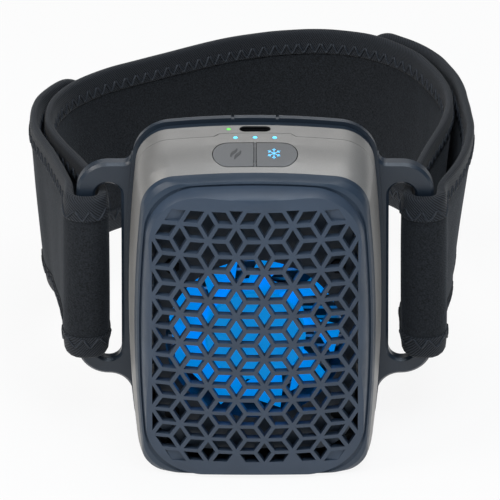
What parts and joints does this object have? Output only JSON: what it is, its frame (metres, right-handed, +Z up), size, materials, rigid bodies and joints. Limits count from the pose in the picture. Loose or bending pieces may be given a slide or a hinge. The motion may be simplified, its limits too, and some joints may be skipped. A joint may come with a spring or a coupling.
{
  "type": "hot cold therapy machine",
  "caption": "Wearable hot and cold therapy unit: a silver case with a domed lattice grille over a blue fan, two touch keys on top, and a back cradle with a wide neoprene strap.",
  "frame": {"origin": "centre of the flat foot, in the plane where the roll of the case ends", "axes": "+X right as seen from the grille, +Y back towards the limb, +Z up"},
  "size_m": [0.1337, 0.1448, 0.1052],
  "materials": {
    "silver_case": "satin silver metallic paint on moulded plastic",
    "dark_trim": "satin blue-grey moulded plastic",
    "key_plastic": "fine matte grey",
    "cradle_plastic": "satin dark blue-grey moulded plastic",
    "black_plastic": "matte black",
    "fan_blue": "glossy bright blue",
    "steel": "plain steel",
    "bronze": "sintered bronze",
    "magnet": "dark grey ferrite",
    "aluminium": "bead-blasted",
    "ceramic": "white ceramic",
    "thermal_pad": "soft grey silicone",
    "gasket": "black closed-cell foam tape",
    "foam": "dark closed-cell foam",
    "cell_wrap": "blue heat-shrink sleeve",
    "board_green": "green solder mask",
    "clear_light": "clear light pipe",
    "lamp": "white lamp body",
    "neoprene": "black neoprene with knitted faces",
    "webbing": "black twill edge binding",
    "hook_tape": "black hook tape"
  },
  "bodies": {
    "unit": {"front_shell": "silver_case", "rear_shell": "silver_case", "front_bezel": "dark_trim", "front_grille": "dark_trim", "fan_baffle": "black_plastic", "fan_frame": "black_plastic", "fan_bearing": "bronze", "fan_stator": "steel", "heat_sink": "aluminium", "thermoelectric_module": "ceramic", "thermal_pads": "thermal_pad", "contact_plate": "aluminium", "plate_gasket": "gasket", "temperature_sensor": "steel", "foam_insulator": "foam", "battery_cell": "cell_wrap", "battery_holder": "black_plastic", "main_board": "board_green", "charging_socket": "steel", "level_light_pipes": "clear_light", "charge_light_pipe": "clear_light", "lamps": "lamp", "key_switches": "black_plastic", "case_screws": "steel", "fan_screws": "steel", "heat_sink_screws": "steel"},
    "fan_rotor": {"fan_impeller": "fan_blue", "fan_shaft": "steel", "fan_magnet": "magnet"},
    "heat_key": {"heat_key": "key_plastic"},
    "cold_key": {"cold_key": "key_plastic"},
    "cradle": {"strap_cradle": "cradle_plastic", "strap_band": "neoprene", "strap_binding_lower": "webbing", "strap_binding_upper": "webbing", "hook_pad_left": "hook_tape", "hook_pad_right": "hook_tape"}
  },
  "joints": [
    {"name": "fan_spin", "type": "hinge", "parent": "unit", "child": "fan_rotor", "pos_m": [0, -0.0104, 0.046], "axis": [0, 1, 0], "continuous": true},
    {"name": "heat_key_press", "type": "slide", "parent": "unit", "child": "heat_key", "axis": [0, 0.342, -0.9397], "range_m": [0, 0.0005], "stiffness_N_per_m": 1500, "springref_m": -0.0005},
    {"name": "cold_key_press", "type": "slide", "parent": "unit", "child": "cold_key", "axis": [0, 0.342, -0.9397], "range_m": [0, 0.0005], "stiffness_N_per_m": 1500, "springref_m": -0.0005},
    {"name": "cradle_release", "type": "slide", "parent": "unit", "child": "cradle", "axis": [0, 1, 0], "range_m": [0, 0.03]}
  ]
}
